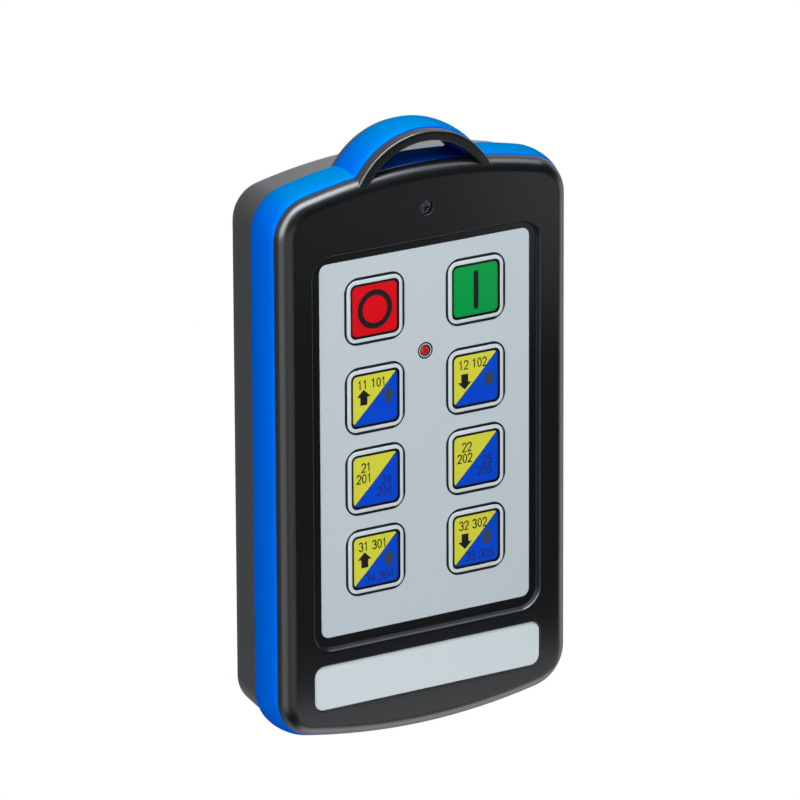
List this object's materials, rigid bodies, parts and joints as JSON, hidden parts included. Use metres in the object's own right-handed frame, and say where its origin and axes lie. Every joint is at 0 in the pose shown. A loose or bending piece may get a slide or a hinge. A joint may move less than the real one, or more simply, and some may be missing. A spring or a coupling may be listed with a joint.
{
  "type": "crane radio remote control",
  "caption": "Hand-held radio transmitter for a crane: two-part case with a seal band, lanyard loop and membrane keys.",
  "frame": {"origin": "on the back face, under the middle of the whole outline with the lanyard loop", "axes": "+X across the keys to the right as they face the user, +Y along the case towards the lanyard loop, +Z out of the key face"},
  "size_m": [0.082, 0.1496, 0.026],
  "materials": {
    "case_plastic": "moulded near-black plastic, fine satin texture",
    "seal_blue": "smooth blue elastomer with a soft sheen",
    "keypad_film": "printed pale grey film, satin",
    "plate_satin": "bare pale grey plate, satin",
    "red_pad": "printed red key film, semi-gloss",
    "green_pad": "printed green key film, semi-gloss",
    "split_pad": "key film split between yellow and blue, semi-gloss",
    "black_plastic": "black moulded plastic",
    "tinned_steel": "tinned sheet and wire",
    "board_green": "green solder resist",
    "board_blue": "blue solder resist",
    "lamp_red": "moulded red lens",
    "gilt_pins": "gilt contact pins",
    "copper_wire": "enamelled copper wire",
    "battery_jacket": "plain printed metal jacket",
    "terminal_steel": "plated press studs",
    "lead_red": "red insulation",
    "lead_black": "black insulation",
    "white_plastic": "natural white nylon",
    "grey_foam": "closed-cell foam",
    "screw_steel": "zinc plated steel",
    "insert_brass": "turned brass"
  },
  "bodies": {
    "case": {"front_shell": "case_plastic", "rear_shell": "case_plastic", "seal_band": "seal_blue", "keypad_sheet": "keypad_film", "name_plate": "plate_satin", "rear_plate": "plate_satin", "switch_bases": "black_plastic", "switch_covers": "tinned_steel", "switch_legs": "tinned_steel", "main_board": "board_green", "board_screws": "screw_steel", "status_lamp": "lamp_red", "lamp_spacer": "black_plastic", "lamp_wires": "tinned_steel", "controller_chip": "black_plastic", "controller_legs": "tinned_steel", "radio_board": "board_blue", "radio_can": "tinned_steel", "radio_pins": "gilt_pins", "antenna": "copper_wire", "crystal": "tinned_steel", "regulator": "black_plastic", "capacitors": "tinned_steel", "resistors": "black_plastic", "battery": "battery_jacket", "battery_terminals": "terminal_steel", "battery_snap": "black_plastic", "red_lead": "lead_red", "black_lead": "lead_black", "lead_plug": "white_plastic", "board_socket": "white_plastic", "battery_pad": "grey_foam", "front_screw": "screw_steel", "front_insert": "insert_brass", "rear_screws": "screw_steel", "rear_inserts": "insert_brass"},
    "stop_key": {"stop_key": "red_pad", "stop_plunger": "black_plastic"},
    "start_key": {"start_key": "green_pad", "start_plunger": "black_plastic"},
    "upper_left_key": {"upper_left_key": "split_pad", "upper_left_plunger": "black_plastic"},
    "upper_right_key": {"upper_right_key": "split_pad", "upper_right_plunger": "black_plastic"},
    "middle_left_key": {"middle_left_key": "split_pad", "middle_left_plunger": "black_plastic"},
    "middle_right_key": {"middle_right_key": "split_pad", "middle_right_plunger": "black_plastic"},
    "lower_left_key": {"lower_left_key": "split_pad", "lower_left_plunger": "black_plastic"},
    "lower_right_key": {"lower_right_key": "split_pad", "lower_right_plunger": "black_plastic"}
  },
  "joints": [
    {"name": "stop_press", "type": "slide", "parent": "case", "child": "stop_key", "axis": [0, 0, -1], "range_m": [0, 0.0005], "stiffness_N_per_m": 1500, "springref_m": -0.0005},
    {"name": "start_press", "type": "slide", "parent": "case", "child": "start_key", "axis": [0, 0, -1], "range_m": [0, 0.0005], "stiffness_N_per_m": 1500, "springref_m": -0.0005},
    {"name": "upper_left_press", "type": "slide", "parent": "case", "child": "upper_left_key", "axis": [0, 0, -1], "range_m": [0, 0.0005], "stiffness_N_per_m": 1500, "springref_m": -0.0005},
    {"name": "upper_right_press", "type": "slide", "parent": "case", "child": "upper_right_key", "axis": [0, 0, -1], "range_m": [0, 0.0005], "stiffness_N_per_m": 1500, "springref_m": -0.0005},
    {"name": "middle_left_press", "type": "slide", "parent": "case", "child": "middle_left_key", "axis": [0, 0, -1], "range_m": [0, 0.0005], "stiffness_N_per_m": 1500, "springref_m": -0.0005},
    {"name": "middle_right_press", "type": "slide", "parent": "case", "child": "middle_right_key", "axis": [0, 0, -1], "range_m": [0, 0.0005], "stiffness_N_per_m": 1500, "springref_m": -0.0005},
    {"name": "lower_left_press", "type": "slide", "parent": "case", "child": "lower_left_key", "axis": [0, 0, -1], "range_m": [0, 0.0005], "stiffness_N_per_m": 1500, "springref_m": -0.0005},
    {"name": "lower_right_press", "type": "slide", "parent": "case", "child": "lower_right_key", "axis": [0, 0, -1], "range_m": [0, 0.0005], "stiffness_N_per_m": 1500, "springref_m": -0.0005}
  ]
}
